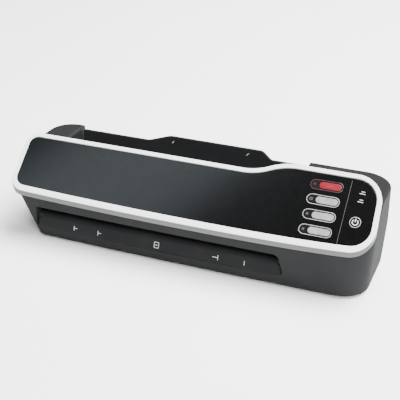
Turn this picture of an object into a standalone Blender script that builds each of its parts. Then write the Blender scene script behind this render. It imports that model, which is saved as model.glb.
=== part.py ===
"""Pouch laminator for A4 pouches: shells, key panel, exit tray and roller drive.

Design lengths are in millimetres in a working frame: x to the right, y from the
front to the rear, z up from the underside of the shells. put() moves them to the
part's frame (origin under the middle of the bounding box) in metres.
"""
import math

import bmesh
import bpy
from mathutils import Vector

# Placement of the working frame
X_SHIFT = 1.6
Y_SHIFT = -57.15
FOOT_HEIGHT = 3.0

# Body shells
WALL = 2.5
BODY_LEFT = -215.0
BODY_RIGHT = 212.6
BODY_LEFT_REAR = -209.0
BODY_LEFT_BASE = -187.0
BODY_RIGHT_BASE = 208.5
BODY_REAR = 119.0
FRONT_BASE_Y = 0.0
FRONT_TOP_Y = -2.1
BOW = 2.6
BOW_FADE = 60.0
BULGE_Z = 55.0
BASE_RADII = (15, 30, 30, 24)
BULGE_RADII = (17, 26, 34, 27)
SLIP = 0.3
WEDGE_Y = 49.2
DECK_Z = 95.0
DECK_CHAMFER = 2.4
SEAM_Y = 68.0
SEAM_GAP = 0.3
X_MID = -1.0
HALF_WIDTH = 212.0

# Tilted key panel
TILT = math.radians(41.5)
PLANE_Y = 3.18
PLANE_Z = 61.5
TRIM_WIDTH = 5.4
TRIM_BAND = 6.5
TRIM_PROUD = 1.2
REAR_SLIM = 1.5
LEDGE = 2.0
PANEL_DROP = 0.8
PANEL_DEPTH = 3.2
PANEL_GAP = 0.25
FRONT_SAG = 3.3
FRONT_LIFT = 2.6
FRONT_SPANS = 8
PANEL_LEFT = -211.0
PANEL_RIGHT = 208.4
PANEL_TOP = 62.6
KEYS_TOP = 77.0
WAVE_X = (70.0, 100.0)
WAVE_ROUND = 70
SLIM_FROM = 20.0
SLIM_OVER = 30.0

# Keys
KEY_X = (132.0, 168.6)
KEY_MID = (KEY_X[0] + KEY_X[1]) / 2
KEY_WIDE = KEY_X[1] - KEY_X[0]
KEY_ROWS = (62.8, 45.6, 28.1, 10.6)
KEY_TALL = 12.4
KEY_RADIUS = 6.19
KEY_GAP = 0.3
KEY_TOP = -0.2
WINDOW_X = (142.3, 166.3)
WINDOW_TALL = 7.6
WINDOW_RADIUS = 3.79
WINDOW_GAP = 0.2
POWER_AT = (189.2, 27.9)
POWER_R = 6.4
LENS_X = 189.8
LENS_ROWS = (62.6, 53.2)
LENS_SIZE = (5.0, 2.2)
LENS_GAP = 0.3
FLANGE_OUT = 0.6
FLANGE_H = (-4.8, -3.4)
STEM = 4.0
STEM_END = -10.4
POCKET_H = -1.6
WINDOW_H = -1.4

# Feed path and entry recess
PATH_RISE = math.radians(12.0)
PATH_Z = 28.5
PATH_MID_X = -29.0
RECESS_TOP = (-182.0, 114.0)
RECESS_BASE = (-183.5, 121.5)
RECESS_Z = (10.6, 37.0)
BLOCK_SIDE = [(1.0, 7.5), (8.0, 7.5), (8.6, 23.0), (19.0, 27.6), (19.0, 33.0), (13.5, 33.0), (13.5, 40.0), (1.0, 40.0)]
BLOCK_PAST = 3.0
BLOCK_UNDER_SKIN = 0.05
LIP_FOOT = (0.3, 10.6)
LIP_EDGE = (5.6, 26.0)
TABLE_END = (22.0, 30.9)
BROW_DROP = 1.4
LIP_ROUND = 8.0
LIP_END_X = (-181.0, 117.5)
LIP_END_Z = 16.0
LIP_END_DEPTH = 6.0

# Rear notch and exit tray
NOTCH_X = (-176.0, 112.3)
NOTCH_CORNER = 2.0
NOTCH_FILLET = 4.0
NOTCH_FLOOR = 48.9
RAIL_Z = 43.2
RAIL_THICK = 1.1
LINER = 2.4
LINER_BACK = 75.8
POST_WIDE = 10.4
POST_Y = (108.0, 117.4)
POST_Z = (41.0, 93.4)
VENT_X = 124.0
VENT_PITCH = 5.0
VENT_COUNT = 6
VENT_SIZE = (2.2, 22.0)
VENT_Z = 44.0
REAR_CUT_Y = (110.0, 130.0)
HINGE_Y = 114.0
HINGE_Z = 47.5
BARREL_R = 3.5
PIN_R = 1.6
TRAY_X = (-175.2, 111.5)
TRAY_LONG = 44.9
TAB_LONG = 54.7
TRAY_ANGLE = math.radians(90.0)
TRAY_FOOT = 0.4
TRAY_H = (0.9, 3.4)
TRAY_BEVEL = 0.5
BARREL_STEPS = 22
RIB_X = (-140.0, -95.0, -29.0, 37.0, 82.0)
RIB_RUN = (7.0, 40.0)
RIB_H = (-1.5, 0.2)
PIN_IN = 9.0
PIN_OUT = 4.0

# Rollers and gear train
HOT_Y = 31.0
PULL_Y = 61.0
ROLLER_R = 12.0
CORE_R = 6.0
JOURNAL_R = 4.0
RUN = 0.08
SLEEVE_X = (-156.0, 98.0)
PLATE_LEFT_X = -164.5
PLATE_RIGHT_X = 102.8
PLATE_THICK = 1.5
GEAR_X = (109.0, 116.0)
MODULE = 1.35
ROLLER_TEETH = 18
MOTOR_TEETH = 10
PRESSURE = math.radians(25.0)
ADDENDUM = 0.8
DEDENDUM = 1.05
BACKLASH = 0.16
OUTPUT_R = 2.5
SHOE_R = (13.0, 15.2)
SHOE_HALF = 62.0
SHOE_X = (-152.0, 94.0)

# Underside and inlet
PLATE_Z = (0.4, 2.8)
SLOT_SIZE = (22.0, 3.0)
SLOT_X = -140.0
SLOT_PITCH = 36.0
SLOT_COUNT = 7
FOOT_R = (8.0, 9.0)
INLET_AT = (162.5, 24.0)
INLET_SIZE = (23.0, 14.0)
INLET_CAVITY = (16.0, 8.4)
INLET_PIN_R = 1.2
INLET_PIN_HALF = 3.7

CORNER_STEPS = 6
ROUND_STEPS = 16
SMOOTH_UNDER = math.radians(32.0)


def clear_objects():
    for item in list(bpy.data.objects):
        bpy.data.objects.remove(item, do_unlink=True)


def put(x, y, z):
    """Working millimetres to the part's frame in metres."""
    return Vector((x + X_SHIFT, y + Y_SHIFT, z + FOOT_HEIGHT)) / 1000.0


def on_panel(x, s, h):
    """Panel coordinates: s up the slope, h along the outward normal."""
    y = PLANE_Y + s * math.cos(TILT) - h * math.sin(TILT)
    z = PLANE_Z + s * math.sin(TILT) + h * math.cos(TILT)
    return put(x, y, z)


def plane_z(y):
    return PLANE_Z + (y - PLANE_Y) * math.tan(TILT)


def on_tray(x, run, h):
    """Folded tray: run up from the hinge axis, h forward from it along the plate's normal."""
    y = HINGE_Y + run * math.cos(TRAY_ANGLE) - h * math.sin(TRAY_ANGLE)
    z = HINGE_Z + run * math.sin(TRAY_ANGLE) + h * math.cos(TRAY_ANGLE)
    return put(x, y, z)


def path_z(y):
    return PATH_Z + y * math.tan(PATH_RISE)


def material(name, colour, roughness, metallic):
    made = bpy.data.materials.new(name)
    made.use_nodes = True
    shader = made.node_tree.nodes["Principled BSDF"]
    shader.inputs["Base Color"].default_value = (*colour, 1.0)
    shader.inputs["Roughness"].default_value = roughness
    shader.inputs["Metallic"].default_value = metallic
    return made


def make(name, verts, faces):
    """One object from points and faces, its faces turned outward."""
    mesh = bpy.data.meshes.new(name)
    mesh.from_pydata([tuple(v) for v in verts], [], faces)
    work = bmesh.new()
    work.from_mesh(mesh)
    bmesh.ops.remove_doubles(work, verts=work.verts, dist=1e-7)
    bent = [face for face in work.faces if len(face.verts) == 4]
    bmesh.ops.triangulate(work, faces=bent)
    bmesh.ops.recalc_face_normals(work, faces=work.faces)
    work.to_mesh(mesh)
    work.free()
    item = bpy.data.objects.new(name, mesh)
    bpy.context.scene.collection.objects.link(item)
    return item


def loft(name, rings):
    """Closed solid through rings of equal length, capped at both ends."""
    count = len(rings[0])
    verts = [p for ring in rings for p in ring]
    faces = []
    for k in range(len(rings) - 1):
        for i in range(count):
            j = (i + 1) % count
            faces.append((k * count + i, k * count + j, (k + 1) * count + j, (k + 1) * count + i))
    faces.append(tuple(range(count)))
    faces.append(tuple(range((len(rings) - 1) * count, len(rings) * count)))
    return make(name, verts, faces)


def loop(name, rings):
    """Closed solid through rings that return to the first one, such as a frame."""
    count = len(rings[0])
    verts = [p for ring in rings for p in ring]
    faces = []
    for k in range(len(rings)):
        n = (k + 1) % len(rings)
        for i in range(count):
            j = (i + 1) % count
            faces.append((k * count + i, k * count + j, n * count + j, n * count + i))
    return make(name, verts, faces)


def along_x(name, profile, x0, x1):
    return loft(name, [[put(x, y, z) for y, z in profile] for x in (x0, x1)])


def along_y(name, profile, y0, y1):
    return loft(name, [[put(x, y, z) for x, z in profile] for y in (y0, y1)])


def along_z(name, profile, z0, z1):
    return loft(name, [[put(x, y, z) for x, y in profile] for z in (z0, z1)])


def box(name, low, high):
    profile = [(low[0], low[1]), (high[0], low[1]), (high[0], high[1]), (low[0], high[1])]
    return along_z(name, profile, low[2], high[2])


def turned(name, y, z, stations, steps=ROUND_STEPS):
    """Solid of revolution about a line along x through (y, z); stations are (x, radius)."""
    rings = []
    for x, r in stations:
        ring = []
        for i in range(steps):
            a = 2 * math.pi * i / steps
            ring.append(put(x, y + r * math.cos(a), z + r * math.sin(a)))
        rings.append(ring)
    return loft(name, rings)


def tube(name, y, z, x0, x1, inner, outer, steps=ROUND_STEPS):
    rings = []
    for x, r in ((x0, inner), (x0, outer), (x1, outer), (x1, inner)):
        ring = []
        for i in range(steps):
            a = 2 * math.pi * i / steps
            ring.append(put(x, y + r * math.cos(a), z + r * math.sin(a)))
        rings.append(ring)
    return loop(name, rings)


def upright(name, x, y, z0, z1, r0, r1, steps=ROUND_STEPS):
    rings = []
    for z, r in ((z0, r0), (z1, r1)):
        ring = []
        for i in range(steps):
            a = 2 * math.pi * i / steps
            ring.append(put(x + r * math.cos(a), y + r * math.sin(a), z))
        rings.append(ring)
    return loft(name, rings)


def combine(base, other, operation):
    """Apply one exact boolean and drop the second solid."""
    step = base.modifiers.new("cut", "BOOLEAN")
    step.operation = operation
    step.solver = "EXACT"
    step.object = other
    graph = bpy.context.evaluated_depsgraph_get()
    result = bpy.data.meshes.new_from_object(base.evaluated_get(graph))
    base.modifiers.clear()
    old = base.data
    base.data = result
    bpy.data.meshes.remove(old)
    bpy.data.objects.remove(other, do_unlink=True)
    work = bmesh.new()
    work.from_mesh(base.data)
    bmesh.ops.remove_doubles(work, verts=work.verts, dist=1e-6)
    bmesh.ops.dissolve_degenerate(work, edges=work.edges, dist=1e-6)
    work.to_mesh(base.data)
    work.free()
    return base


def cut(base, other):
    return combine(base, other, "DIFFERENCE")


def join(base, other):
    return combine(base, other, "UNION")


def keep(base, other):
    return combine(base, other, "INTERSECT")


def rounded(corners, steps=CORNER_STEPS):
    """Polygon with an arc at each corner given as (x, y, radius)."""
    points = []
    count = len(corners)
    for i, (x, y, r) in enumerate(corners):
        here = Vector((x, y))
        if r <= 0:
            points.append((x, y))
            continue
        before = Vector(corners[i - 1][:2])
        after = Vector(corners[(i + 1) % count][:2])
        a = (before - here).normalized()
        b = (after - here).normalized()
        half = a.angle(b) / 2
        reach = r / math.tan(half)
        centre = here + (a + b).normalized() * (r / math.sin(half))
        start = here + a * reach - centre
        stop = here + b * reach - centre
        turn = start.angle_signed(stop)
        for k in range(steps + 1):
            t = -turn * k / steps
            px = start.x * math.cos(t) - start.y * math.sin(t)
            py = start.x * math.sin(t) + start.y * math.cos(t)
            points.append((centre.x + px, centre.y + py))
    return points


def quarter_arc():
    return [math.pi / 2 * k / CORNER_STEPS for k in range(CORNER_STEPS + 1)]


def inset(points, distance):
    """Move a counter-clockwise outline inward by a distance."""
    moved = []
    count = len(points)
    for i in range(count):
        here = Vector(points[i])
        a = (here - Vector(points[i - 1])).normalized()
        b = (Vector(points[(i + 1) % count]) - here).normalized()
        na = Vector((-a.y, a.x))
        nb = Vector((-b.y, b.x))
        mean = (na + nb).normalized()
        move = mean * (distance / max(0.4, mean.dot(na)))
        moved.append((here.x + move.x, here.y + move.y))
    return moved


def bar(cx, cy, wide, tall, radius, steps=5):
    """Rounded bar outline, counter-clockwise."""
    x0, x1 = cx - wide / 2, cx + wide / 2
    y0, y1 = cy - tall / 2, cy + tall / 2
    return rounded([(x0, y0, radius), (x1, y0, radius), (x1, y1, radius), (x0, y1, radius)], steps)


def body_outline(left, left_rear, right, front, radii, shrink=0.0):
    """Plan of the shells with a gently bowed front and a left end that draws in to the rear."""
    fl, fr, rr, rl = radii
    corners = [(left, front, fl)]
    for k in range(1, FRONT_SPANS):
        corners.append((left + (right - left) * k / FRONT_SPANS, front, 0))
    corners += [(right, front, fr), (right, BODY_REAR, rr), (left_rear, BODY_REAR, rl)]
    points = []
    for x, y in rounded(corners):
        fade = min(1.0, max(0.0, (BOW_FADE - y) / BOW_FADE))
        points.append((x, y + BOW * fade * ((x - X_MID) / HALF_WIDTH) ** 2))
    return inset(points, shrink)


def base_outline(shrink):
    return body_outline(BODY_LEFT_BASE, BODY_LEFT_BASE, BODY_RIGHT_BASE, FRONT_BASE_Y, BASE_RADII, shrink)


def bulge_outline(shrink):
    return body_outline(BODY_LEFT, BODY_LEFT_REAR, BODY_RIGHT, FRONT_TOP_Y, BULGE_RADII, shrink)


def panel_outline():
    """Opening of the trim in panel coordinates, deeper at the key end."""
    corners = [(PANEL_LEFT, 0.0, 12)]
    middle = (PANEL_LEFT + PANEL_RIGHT) / 2
    for k in range(1, FRONT_SPANS):
        x = PANEL_LEFT + (PANEL_RIGHT - PANEL_LEFT) * k / FRONT_SPANS
        u = (x - middle) / (PANEL_RIGHT - middle)
        corners.append((x, -FRONT_SAG * (1 - u ** 2) + FRONT_LIFT * max(0, u) ** 4, 0))
    corners += [(PANEL_RIGHT, FRONT_LIFT, 21), (PANEL_RIGHT - 2.8, KEYS_TOP, 25), (WAVE_X[1], KEYS_TOP, WAVE_ROUND)]
    corners += [(WAVE_X[0], PANEL_TOP, WAVE_ROUND), (PANEL_LEFT + 0.7, PANEL_TOP, 10)]
    return rounded(corners)


def plan_of(points):
    """Panel outline seen from above."""
    return [(x, PLANE_Y + s * math.cos(TILT)) for x, s in points]


def trim_outline(shrink):
    """Outer edge of the trim in plan, drawn in along the rear."""
    points = []
    for x, y in inset(plan_of(panel_outline()), shrink - TRIM_WIDTH):
        slim = min(1.0, max(0.0, (y - SLIM_FROM) / SLIM_OVER))
        points.append((x, y - REAR_SLIM * slim))
    return points


def slope_ring(points, below):
    """Plan outline laid in the panel plane, lowered by a height."""
    return [put(x, y, plane_z(y) - below) for x, y in points]


def under_plane(name, below, y0=-40.0, y1=100.0):
    profile = [(y0, -20.0), (y1, -20.0), (y1, plane_z(y1) - below), (y0, plane_z(y0) - below)]
    return along_x(name, profile, -260.0, 260.0)


def shell_pair():
    """The front and rear shells as one hollow form, still joined at the seam."""
    below = TRIM_BAND + SLIP
    levels = [(base_outline(0), 0.0), (bulge_outline(0), BULGE_Z)]
    levels.append((bulge_outline(0), DECK_Z - DECK_CHAMFER))
    levels.append((bulge_outline(0.3 * DECK_CHAMFER), DECK_Z - 0.3 * DECK_CHAMFER))
    levels.append((bulge_outline(DECK_CHAMFER), DECK_Z))
    form = loft("form", [[put(x, y, z) for x, y in ring] for ring, z in levels])
    keep(form, under_plane("slope", below, y1=140.0))
    trim_plan = trim_outline(TRIM_PROUD)
    wedge = along_z("wedge", inset(trim_plan, SLIP), 70.0, 140.0)
    keep(wedge, under_plane("wedge_top", below))
    keep(wedge, box("wedge_rear", (-260, WEDGE_Y, 60), (260, 100, 150)))
    join(form, wedge)
    levels = [(base_outline(WALL), -5.0), (base_outline(WALL), 0.0), (bulge_outline(WALL), BULGE_Z)]
    levels += [(bulge_outline(WALL), DECK_Z - WALL)]
    hollow = loft("hollow", [[put(x, y, z) for x, y in ring] for ring, z in levels])
    crown = along_z("crown", inset(trim_plan, WALL + SLIP), 80.0, 150.0)
    join(hollow, crown)
    return cut(form, hollow)


def lip_end(x, way):
    """Cutter that rounds one end of the lip, seen from the front."""
    r = LIP_ROUND
    low, high, past = LIP_END_Z - 4.0, RECESS_Z[1] - 1.0, x + way * 20.0
    profile = [(x - way * r * (1 - math.sin(a)), LIP_END_Z + r * math.cos(a)) for a in quarter_arc()]
    profile += [(x, low), (past, low), (past, high), (x - way * r, high)]
    return along_y("lip_end", profile, -25.0, LIP_END_DEPTH)


def front_cover(form):
    """Front shell with the entry recess: a lip leaning back and a feed table."""
    keep(form, box("half", (-260, -40, -10), (260, SEAM_Y - SEAM_GAP / 2, 150)))
    z0, z1 = RECESS_Z
    block = along_x("block", BLOCK_SIDE, RECESS_BASE[0] - BLOCK_PAST, RECESS_BASE[1] + BLOCK_PAST)
    skin = ((base_outline(BLOCK_UNDER_SKIN), 0.0), (bulge_outline(BLOCK_UNDER_SKIN), BULGE_Z))
    keep(block, loft("skin", [[put(x, y, z) for x, y in ring] for ring, z in skin]))
    join(form, block)
    corners = [(RECESS_BASE[0], z0 - 0.01, 2), (RECESS_BASE[1], z0 - 0.01, 6)]
    corners += [(RECESS_TOP[1], z1, 7), (RECESS_TOP[0], z1, 3)]
    mouth = along_y("mouth", rounded(corners, 4), -30.0, 30.0)
    brow = z1 - BROW_DROP
    profile = [(-30.0, z0, 0), (*LIP_FOOT, 0), (*LIP_EDGE, LIP_ROUND), (*TABLE_END, 0)]
    profile += [(TABLE_END[0], brow, 0), (9.0, brow, 0), (3.0, z1, 0), (-30.0, z1, 0)]
    scoop = along_x("scoop", rounded(profile, 5), -200.0, 140.0)
    for x, way in zip(LIP_END_X, (-1, 1)):
        join(scoop, lip_end(x, way))
    keep(mouth, scoop)
    cut(form, mouth)
    form.name = "front_cover"
    return form


def notch_fillet(x, way):
    """Cutter that rounds the top edge of a notch side."""
    r = NOTCH_FILLET
    over, past = DECK_Z + 15.0, x - way * 5.0
    profile = [(x + way * r * (1 - math.cos(a)), DECK_Z - r * (1 - math.sin(a))) for a in quarter_arc()]
    profile += [(x + way * r, over), (past, over), (past, DECK_Z - r)]
    return along_y("fillet", profile, SEAM_Y + 3.5, REAR_CUT_Y[1])


def rear_cover(form):
    """Rear shell with the tray notch, its liner, the hinge bores and the vents."""
    keep(form, box("half", (-260, SEAM_Y + SEAM_GAP / 2, -10), (260, 160, 150)))
    x0, x1 = NOTCH_X
    front, back = SEAM_Y + SEAM_GAP / 2, LINER_BACK
    side = [(front, 90.0), (back, 60.0), (back, 39.0), (118.0, 39.0), (118.0, 94.0), (front, 94.0)]
    join(form, along_x("liner_left", side, x0 - LINER, x0 + 0.4))
    join(form, along_x("liner_right", side, x1 - 0.4, x1 + LINER))
    low, high = zip(POST_Y, POST_Z)
    join(form, box("post_left", (x0 - POST_WIDE, *low), (x0 - 1.0, *high)))
    join(form, box("post_right", (x1 + 1.0, *low), (x1 + POST_WIDE, *high)))
    r = NOTCH_CORNER
    past = BODY_REAR + 10.0
    flare = BODY_REAR + 0.05
    plan = [(x0, SEAM_Y + 1.0, 0), (x1, SEAM_Y + 1.0, 0), (x1, flare, r), (x1 + r + 3.0, flare, 0)]
    plan += [(x1 + r + 3.0, past, 0), (x0 - r - 3.0, past, 0), (x0 - r - 3.0, flare, 0), (x0, flare, r)]
    cut(form, along_z("notch", rounded(plan, 5), NOTCH_FLOOR, 110.0))
    cut(form, box("notch_low", (x0, 100.0, RAIL_Z), (x1, BODY_REAR - RAIL_THICK, 60)))
    for x, way in ((x0, -1), (x1, 1)):
        cut(form, notch_fillet(x, way))
    wall = [(front, 93.0), (front, DECK_Z), (front + LINER, DECK_Z), (back + LINER, 62.0), (back + LINER, 49.0)]
    wall += [(back, 49.0), (back, 61.5)]
    join(form, along_x("liner_wall", wall, x0 - 1.0, x1 + 1.0))
    floor = [(back, 39.8), (107.3, 45.6), (107.3, 40.8), (117.5, 40.8), (117.5, RAIL_Z)]
    floor += [(109.8, RAIL_Z), (109.8, NOTCH_FLOOR), (back, 42.2)]
    join(form, along_x("liner_floor", floor, x0 - 1.0, x1 + 1.0))
    bore = PIN_R + RUN
    cut(form, turned("bore_left", HINGE_Y, HINGE_Z, [(x0 - 6, bore), (x0 + 3, bore)]))
    cut(form, turned("bore_right", HINGE_Y, HINGE_Z, [(x1 - 3, bore), (x1 + 6, bore)]))
    for k in range(VENT_COUNT):
        x = VENT_X + VENT_PITCH * k
        cut(form, box("vent", (x, REAR_CUT_Y[0], VENT_Z), (x + VENT_SIZE[0], REAR_CUT_Y[1], VENT_Z + VENT_SIZE[1])))
    hole = bar(*INLET_AT, INLET_SIZE[0] + 0.8, INLET_SIZE[1] + 0.8, 0)
    cut(form, along_y("inlet_hole", hole, *REAR_CUT_Y))
    form.name = "rear_cover"
    return form


def base_plate():
    plate = along_z("base_plate", base_outline(WALL + SLIP), *PLATE_Z)
    for k in range(SLOT_COUNT):
        x = SLOT_X + SLOT_PITCH * k
        cut(plate, along_z("slot", bar(x, 47.0, *SLOT_SIZE, 1.4, 3), -5.0, 5.0))
    return plate


def trim_frame():
    """Frame round the panel, with a ledge that carries the panel's edge."""
    opening = plan_of(panel_outline())
    outer = trim_outline(0.0)
    ledge = inset(opening, LEDGE)
    shelf = PANEL_DROP + PANEL_DEPTH + SLIP
    rings = [slope_ring(inset(outer, 0.9), 0.0), slope_ring(outer, 0.9), slope_ring(outer, TRIM_BAND)]
    rings += [slope_ring(ledge, TRIM_BAND), slope_ring(ledge, shelf), slope_ring(opening, shelf)]
    rings += [slope_ring(opening, 0.5), slope_ring(inset(opening, -0.5), 0.0)]
    return loop("trim_frame", rings)


def top_panel():
    edge = inset(plan_of(panel_outline()), PANEL_GAP)
    top = PANEL_DROP
    rings = [slope_ring(edge, top + PANEL_DEPTH), slope_ring(edge, top + 0.4)]
    rings.append(slope_ring(inset(edge, 0.4), top))
    panel = loft("top_panel", rings)
    holes = [bar(KEY_MID, s, KEY_WIDE + 2 * KEY_GAP, KEY_TALL + 2 * KEY_GAP, KEY_RADIUS + KEY_GAP) for s in KEY_ROWS]
    holes.append(bar(*POWER_AT, 2 * (POWER_R + KEY_GAP), 2 * (POWER_R + KEY_GAP), POWER_R + KEY_GAP - 0.01))
    wide, tall = LENS_SIZE
    holes += [bar(LENS_X, s, wide + 2 * LENS_GAP, tall + 2 * LENS_GAP, 1.2, 3) for s in LENS_ROWS]
    for hole in holes:
        cut(panel, loft("hole", [[on_panel(x, v, h) for x, v in hole] for h in (-8.0, 5.0)]))
    return panel


def key_rings(mid, s, wide, tall, radius):
    """Stem, retaining flange and cap of a key, as rings along the panel normal."""
    low, high = FLANGE_H
    flange = (wide + 2 * FLANGE_OUT, tall + 2 * FLANGE_OUT, radius + FLANGE_OUT - 0.1)
    stages = [(STEM, STEM, STEM / 2 - 0.01, STEM_END), (STEM, STEM, STEM / 2 - 0.01, low)]
    stages += [(*flange, low), (*flange, high)]
    stages += [(wide, tall, radius, high), (wide, tall, radius, KEY_TOP - 0.3)]
    stages.append((wide - 0.6, tall - 0.6, radius - 0.3, KEY_TOP))
    rings = []
    for w, t, r, h in stages:
        rings.append([on_panel(x, v, h) for x, v in bar(mid, s, w, t, r)])
    return rings


def mode_key(index, s):
    key = loft("mode_key_%d" % index, key_rings(KEY_MID, s, KEY_WIDE, KEY_TALL, KEY_RADIUS))
    centre = (WINDOW_X[0] + WINDOW_X[1]) / 2
    length = WINDOW_X[1] - WINDOW_X[0]
    gap = WINDOW_GAP
    pocket = bar(centre, s, length + 2 * gap, WINDOW_TALL + 2 * gap, WINDOW_RADIUS + gap)
    cut(key, loft("pocket", [[on_panel(x, v, h) for x, v in pocket] for h in (POCKET_H, 2.0)]))
    face = bar(centre, s, length, WINDOW_TALL, WINDOW_RADIUS)
    rings = [[on_panel(x, v, h) for x, v in face] for h in (WINDOW_H, KEY_TOP - 0.1)]
    return key, loft("light_window_%d" % index, rings)


def power_key():
    wide = 2 * POWER_R
    return loft("power_key", key_rings(*POWER_AT, wide, wide, POWER_R - 0.4))


def indicator_lens(index, s):
    face = bar(LENS_X, s, *LENS_SIZE, 0.9, 3)
    rings = [[on_panel(x, v, h) for x, v in face] for h in (-3.6, -0.55)]
    return loft("indicator_lens_%d" % index, rings)


def exit_tray():
    """Plate with a grip tab, on a barrel that turns on the two hinge pins."""
    a, b = TRAY_X
    corners = [(a, TRAY_FOOT, 0), (b, TRAY_FOOT, 0), (b, TRAY_LONG, 4), (69.0, TRAY_LONG, 6), (58.0, TAB_LONG, 8)]
    corners += [(-58.0, TAB_LONG, 26), (-86.0, TRAY_LONG, 18), (a, TRAY_LONG, 4)]
    outline = rounded(corners)
    slim = inset(outline, TRAY_BEVEL)
    back, face = TRAY_H
    rings = ((slim, back), (outline, back + TRAY_BEVEL), (outline, face - TRAY_BEVEL), (slim, face))
    tray = loft("exit_tray", [[on_tray(x, v, h) for x, v in ring] for ring, h in rings])
    join(tray, turned("barrel", HINGE_Y, HINGE_Z, [(a + 0.1, BARREL_R), (b - 0.1, BARREL_R)], BARREL_STEPS))
    (r0, r1), (h0, h1) = RIB_RUN, RIB_H
    for x in RIB_X:
        rib = [on_tray(x + dx, run, h) for dx, run, h in ((-1, r0, h0), (1, r0, h0), (1, r1, h1), (-1, r1, h1))]
        top = [on_tray(x + dx, run, 2.0) for dx, run in ((-1, r0), (1, r0), (1, r1), (-1, r1))]
        join(tray, loft("rib", [rib, top]))
    bore, deep = PIN_R + RUN, PIN_IN + 0.2
    cut(tray, turned("bore", HINGE_Y, HINGE_Z, [(a - 5, bore), (a + deep, bore)]))
    cut(tray, turned("bore", HINGE_Y, HINGE_Z, [(b - deep, bore), (b + 5, bore)]))
    return tray


def hinge_pins():
    a, b = TRAY_X
    left = turned("hinge_pin_left", HINGE_Y, HINGE_Z, [(a - PIN_OUT, PIN_R), (a + PIN_IN, PIN_R)])
    right = turned("hinge_pin_right", HINGE_Y, HINGE_Z, [(b - PIN_IN, PIN_R), (b + PIN_OUT, PIN_R)])
    return [left, right]


def feet():
    made = []
    spots = (("front_left", -165, 20), ("front_right", 180, 26), ("rear_left", -158, 98), ("rear_right", 178, 98))
    for label, x, y in spots:
        made.append(upright("foot_" + label, x, y, -FOOT_HEIGHT, 0.1, *FOOT_R, 20))
    return made


def nip(y, side):
    """Axis of a roller above (+1) or below (-1) the feed path."""
    reach = MODULE * ROLLER_TEETH / 2
    up = (-math.sin(PATH_RISE) * reach * side, math.cos(PATH_RISE) * reach * side)
    return y + up[0], path_z(y) + up[1]


def slanted(cy, cz, wide, tall, radius):
    """Rounded window in the side view, square to the feed path."""
    points = []
    for u, v in bar(0, 0, wide, tall, radius, 4):
        y = cy + u * math.cos(PATH_RISE) - v * math.sin(PATH_RISE)
        z = cz + u * math.sin(PATH_RISE) + v * math.cos(PATH_RISE)
        points.append((y, z))
    return points


def side_plate(label, x):
    profile = [(19.8, 3.2), (75.2, 3.2), (75.2, 58.0), (70.0, 72.0), (30.0, 72.0), (15.0, 60.0)]
    profile += [(15.0, 41.5), (19.8, 41.5)]
    plate = along_x("side_plate_" + label, profile, x, x + PLATE_THICK)
    flange = box("flange", (x - 8.0, 22.0, 3.2), (x + PLATE_THICK, 70.0, 4.7))
    join(plate, flange)
    for y in (HOT_Y, PULL_Y):
        window = slanted(y, path_z(y), 16.6, 42.6, 3.3)
        cut(plate, along_x("window", window, x - 5, x + 5))
    return plate


def bearing(label, y, x0):
    block = along_x("bearing_" + label, slanted(y, path_z(y), 16.0, 42.0, 3.0), x0, x0 + 5.0)
    for side in (1, -1):
        cy, cz = nip(y, side)
        cut(block, turned("bore", cy, cz, [(x0 - 2, JOURNAL_R + RUN), (x0 + 7, JOURNAL_R + RUN)]))
    return block


def tie_bars():
    x0 = PLATE_LEFT_X + PLATE_THICK + 0.2
    x1 = PLATE_RIGHT_X - 0.2
    low = turned("tie_bar_low", 17.6, 9.0, [(x0, 2.5), (x1, 2.5)], 14)
    high = turned("tie_bar_high", 46.0, 68.0, [(x0, 2.5), (x1, 2.5)], 14)
    return [low, high]


def roller(label, y, side):
    cy, cz = nip(y, side)
    x0, x1 = SLEEVE_X
    sleeve = tube("sleeve_" + label, cy, cz, x0, x1, CORE_R + RUN, ROLLER_R, 24)
    stations = [(x0 - 13.0, JOURNAL_R - 0.5), (x0 - 12.5, JOURNAL_R), (x0 - 2.0, JOURNAL_R), (x0 - 2.0, CORE_R)]
    stations += [(x1 + 1.5, CORE_R), (x1 + 1.5, JOURNAL_R)]
    stations += [(GEAR_X[1] + 1.5, JOURNAL_R), (GEAR_X[1] + 2.0, JOURNAL_R - 0.5)]
    return [sleeve, turned("shaft_" + label, cy, cz, stations)]


def tooth_outline(teeth, phase):
    """Involute gear outline, with tooth number zero centred on the phase angle."""
    pitch = MODULE * teeth / 2
    base = pitch * math.cos(PRESSURE)
    tip = pitch + ADDENDUM * MODULE
    root = pitch - DEDENDUM * MODULE
    half = math.pi / (2 * teeth) - BACKLASH / (2 * pitch)
    swing = half + math.tan(PRESSURE) - PRESSURE
    start = max(base, root)
    flank = []
    for k in range(3):
        r = start + (tip - start) * k / 2
        press = math.acos(min(1.0, base / r))
        flank.append((r, swing - (math.tan(press) - press)))
    points = []
    for n in range(teeth):
        mid = phase + 2 * math.pi * n / teeth
        side = [(root, -flank[0][1])] if start > root else []
        side += [(r, -a) for r, a in flank]
        side += [(r, a) for r, a in reversed(flank)]
        side += [(root, flank[0][1])] if start > root else []
        for r, a in side:
            points.append((r * math.cos(mid + a), r * math.sin(mid + a)))
    return points


def mesh_phase(angle, phase, teeth, mate_teeth):
    """Phase of the mating gear for a tooth in each gap along the line of centres."""
    pitch = 2 * math.pi / teeth
    mate = 2 * math.pi / mate_teeth
    return angle + math.pi - mate * (0.5 - (angle - phase) / pitch)


def gear(name, centre, teeth, phase, x0, x1, bore):
    cy, cz = centre
    profile = [(cy + u, cz + v) for u, v in tooth_outline(teeth, phase)]
    wheel = along_x(name, profile, x0, x1)
    return cut(wheel, turned("bore", cy, cz, [(x0 - 2, bore), (x1 + 2, bore)]))


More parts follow.
